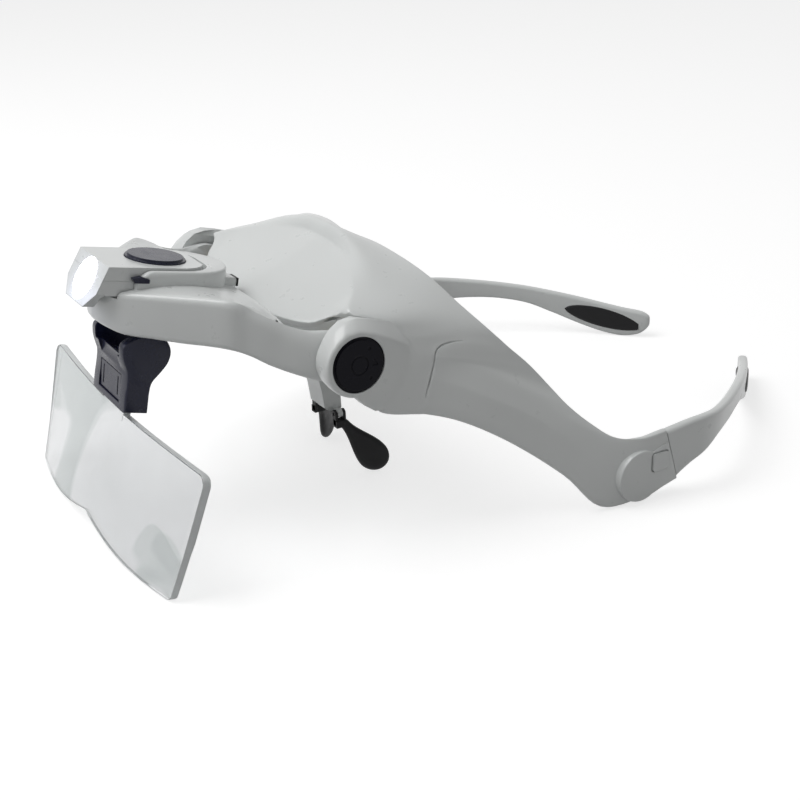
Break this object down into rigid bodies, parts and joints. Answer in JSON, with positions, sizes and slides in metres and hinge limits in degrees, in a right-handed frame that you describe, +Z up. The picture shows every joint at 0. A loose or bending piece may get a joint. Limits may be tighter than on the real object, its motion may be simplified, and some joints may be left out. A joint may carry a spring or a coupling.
{
  "type": "lighted headband magnifier",
  "caption": "Hands-free magnifier worn on the head: a clear lens plate hangs from a hinged yoke with a small tilting lamp, on a brow frame with nose pads and curved legs.",
  "frame": {"origin": "bottom centre of the whole part's box, on the table that it rests on", "axes": "+X to the wearer's left, +Y backwards along the head, +Z up"},
  "size_m": [0.1498, 0.22, 0.0761],
  "materials": {
    "white_plastic": "glossy",
    "dark_plastic": "satin",
    "black_rubber": "matte",
    "steel": "satin",
    "brass": "satin",
    "bright_reflector": "bright",
    "clear_plastic": "clear, polished",
    "led_white": "glossy",
    "board_green": "satin"
  },
  "bodies": {
    "frame": {"frame_shell": "white_plastic", "nose_bridge": "white_plastic", "nose_bridge_screw": "steel", "nose_pad_axle_left": "steel", "nose_pad_axle_right": "steel", "pivot_screw_left": "steel", "pivot_screw_right": "steel", "pivot_cap_left": "dark_plastic", "pivot_cap_right": "dark_plastic", "pivot_washer_left": "steel", "pivot_washer_right": "steel", "leg_left": "white_plastic", "leg_right": "white_plastic", "leg_pad_left": "black_rubber", "leg_pad_right": "black_rubber", "leg_spring_left": "steel", "leg_spring_right": "steel"},
    "nose_pad_left": {"nose_pad_left": "black_rubber"},
    "nose_pad_right": {"nose_pad_right": "black_rubber"},
    "leg_latch_left": {"leg_latch_left": "white_plastic"},
    "leg_latch_right": {"leg_latch_right": "white_plastic"},
    "yoke": {"yoke_shell": "white_plastic", "yoke_covers": "white_plastic", "yoke_screws": "steel", "flip_bumper": "black_rubber", "tilt_stops": "dark_plastic", "clip_pin": "steel", "clip_friction_spring": "steel", "lamp_pin": "steel", "pivot_insert_left": "brass", "pivot_insert_right": "brass"},
    "lamp": {"lamp_top": "white_plastic", "lamp_base": "white_plastic", "lamp_window": "clear_plastic", "lamp_reflector": "bright_reflector", "led": "led_white", "circuit_board": "board_green", "coin_cells": "steel", "cell_contact": "brass", "cell_door": "white_plastic", "lamp_screws": "steel", "switch_dome": "steel"},
    "switch": {"switch_button": "dark_plastic"},
    "clip": {"clip_body": "dark_plastic", "clip_latch_spring": "steel"},
    "clip_latch": {"clip_latch": "dark_plastic"},
    "lens": {"lens_plate": "clear_plastic"}
  },
  "joints": [
    {"name": "yoke_flip", "type": "hinge", "parent": "frame", "child": "yoke", "pos_m": [0, -0.05045, 0.0521], "axis": [-1, 0, 0], "range_deg": [0, 55]},
    {"name": "lamp_tilt", "type": "hinge", "parent": "yoke", "child": "lamp", "pos_m": [0, -0.07336, 0.06651], "axis": [-1, 0, 0], "range_deg": [0, 9]},
    {"name": "switch_press", "type": "slide", "parent": "lamp", "child": "switch", "axis": [0, -0.2079, -0.9781], "range_m": [0, 0.0007], "stiffness_N_per_m": 1500, "springref_m": -0.0003},
    {"name": "lens_tilt", "type": "hinge", "parent": "yoke", "child": "clip", "pos_m": [0, -0.08965, 0.0535], "axis": [-1, 0, 0], "range_deg": [-10, 20]},
    {"name": "lens_slide", "type": "slide", "parent": "clip", "child": "lens", "axis": [0, -0.3778, -0.9259], "range_m": [0, 0.012]},
    {"name": "lens_latch_press", "type": "slide", "parent": "clip", "child": "clip_latch", "axis": [0, 0.9839, -0.1788], "range_m": [0, 0.0005], "stiffness_N_per_m": 2000, "springref_m": -0.0002},
    {"name": "nose_pad_swing_left", "type": "hinge", "parent": "frame", "child": "nose_pad_left", "pos_m": [0.0062, -0.03305, 0.0174], "axis": [0, -1, 0], "range_deg": [-5, 15]},
    {"name": "leg_release_left", "type": "slide", "parent": "frame", "child": "leg_latch_left", "axis": [-1, 0, 0], "range_m": [0, 0.0012], "stiffness_N_per_m": 1200, "springref_m": -0.0003},
    {"name": "nose_pad_swing_right", "type": "hinge", "parent": "frame", "child": "nose_pad_right", "pos_m": [-0.0062, -0.03305, 0.0174], "axis": [0, 1, 0], "range_deg": [-5, 15]},
    {"name": "leg_release_right", "type": "slide", "parent": "frame", "child": "leg_latch_right", "axis": [1, 0, 0], "range_m": [0, 0.0012], "stiffness_N_per_m": 1200, "springref_m": -0.0003}
  ]
}
